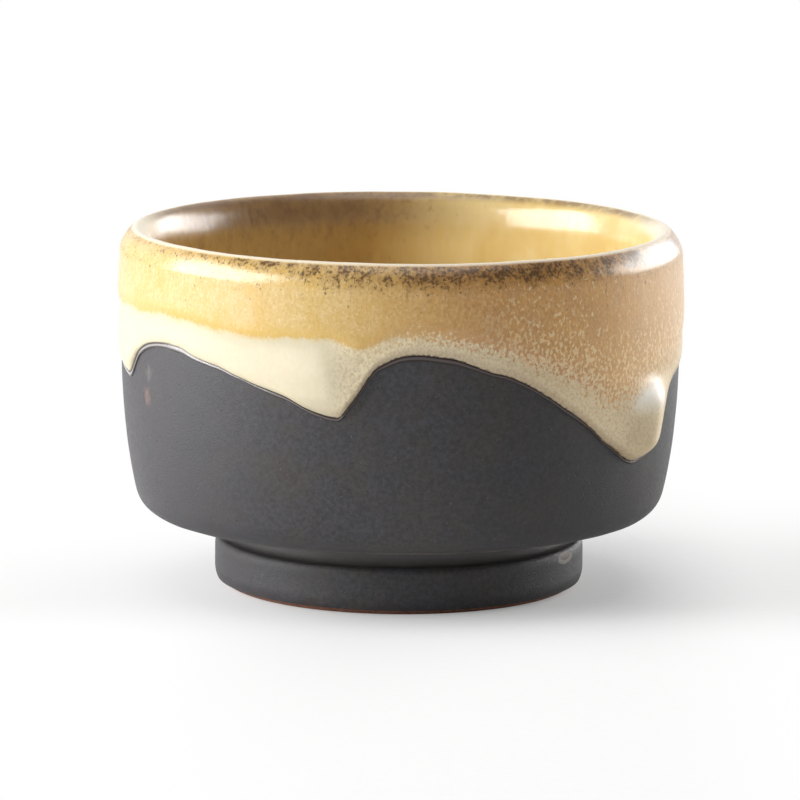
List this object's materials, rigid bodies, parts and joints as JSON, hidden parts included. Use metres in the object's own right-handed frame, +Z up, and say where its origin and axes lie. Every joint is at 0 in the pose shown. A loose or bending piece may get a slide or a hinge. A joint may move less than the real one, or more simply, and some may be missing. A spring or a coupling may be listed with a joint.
{
  "type": "sake cup",
  "caption": "Small footed stoneware sake cup with a rounded lip, a dark slip-coated belly and foot, and a cream and amber glaze that runs down the outside in drips.",
  "frame": {"origin": "centre of the flat ring under the foot, on the surface the cup stands on", "axes": "+Z up along the cup's axis, -Y the side the picture shows, +X to its right"},
  "size_m": [0.0663, 0.0664, 0.042],
  "materials": {
    "bare_clay": "matte reddish-brown stoneware clay, fired and left bare",
    "luting_clay": "matte fired clay slip in the joint between the foot and the bowl",
    "dark_slip": "matte charcoal slip with a fine grain and tiny pits",
    "cream_glaze": "glossy opaque cream glaze, thick in the drips",
    "amber_glaze": "glossy amber glaze with fine vertical streaks and dark brown specks under the lip",
    "lining_glaze": "glossy amber-brown glaze with darker mottling under the lip"
  },
  "bodies": {
    "root": {"clay_bowl": "bare_clay", "foot_ring": "bare_clay", "luting_slip": "luting_clay", "bowl_slip": "dark_slip", "foot_slip": "dark_slip", "cream_glaze": "cream_glaze", "amber_glaze": "amber_glaze", "lining_glaze": "lining_glaze"}
  },
  "joints": []
}
